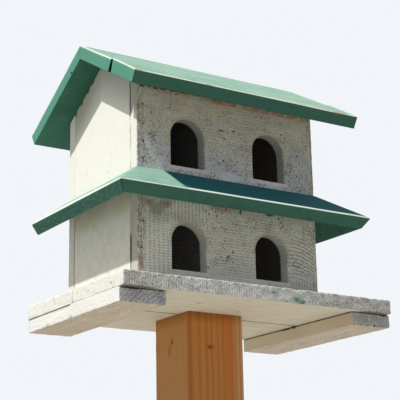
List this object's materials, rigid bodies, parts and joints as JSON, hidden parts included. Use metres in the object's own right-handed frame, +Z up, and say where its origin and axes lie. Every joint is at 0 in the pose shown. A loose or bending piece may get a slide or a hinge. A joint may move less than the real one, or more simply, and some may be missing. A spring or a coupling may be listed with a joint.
{
  "type": "purple martin birdhouse",
  "caption": "Painted wooden martin house with arched entrances on two storeys, a pitched roof, a mitred skirt and a board platform on a square post.",
  "frame": {"origin": "centre of the post's foot, at ground level", "axes": "+Z up along the post, front with the entrances towards -Y, +X to the right seen from the front"},
  "size_m": [0.4473, 0.3142, 2.209],
  "materials": {
    "post_wood": "bare smooth-planed softwood, orange-brown",
    "platform_paint": "weathered off-white paint on rough boards",
    "rough_white_paint": "thin off-white paint on rough-sawn boards",
    "smooth_white_paint": "smooth off-white paint",
    "green_paint": "satin green paint",
    "bare_inner_wood": "bare dark boards inside the rooms"
  },
  "bodies": {
    "root": {"post": "post_wood", "platform_board_front": "platform_paint", "platform_board_back": "platform_paint", "cleat_left": "platform_paint", "cleat_right": "platform_paint", "wall_front_lower": "rough_white_paint", "wall_front_upper": "rough_white_paint", "wall_back_lower": "rough_white_paint", "wall_back_upper": "rough_white_paint", "gable_end_left": "smooth_white_paint", "gable_end_right": "smooth_white_paint", "middle_floor": "bare_inner_wood", "partition_lower": "bare_inner_wood", "partition_upper": "bare_inner_wood", "skirt_front": "green_paint", "skirt_left": "green_paint", "skirt_right": "green_paint", "roof_back": "green_paint", "roof_front_upper": "green_paint", "roof_front_lower": "green_paint"}
  },
  "joints": []
}
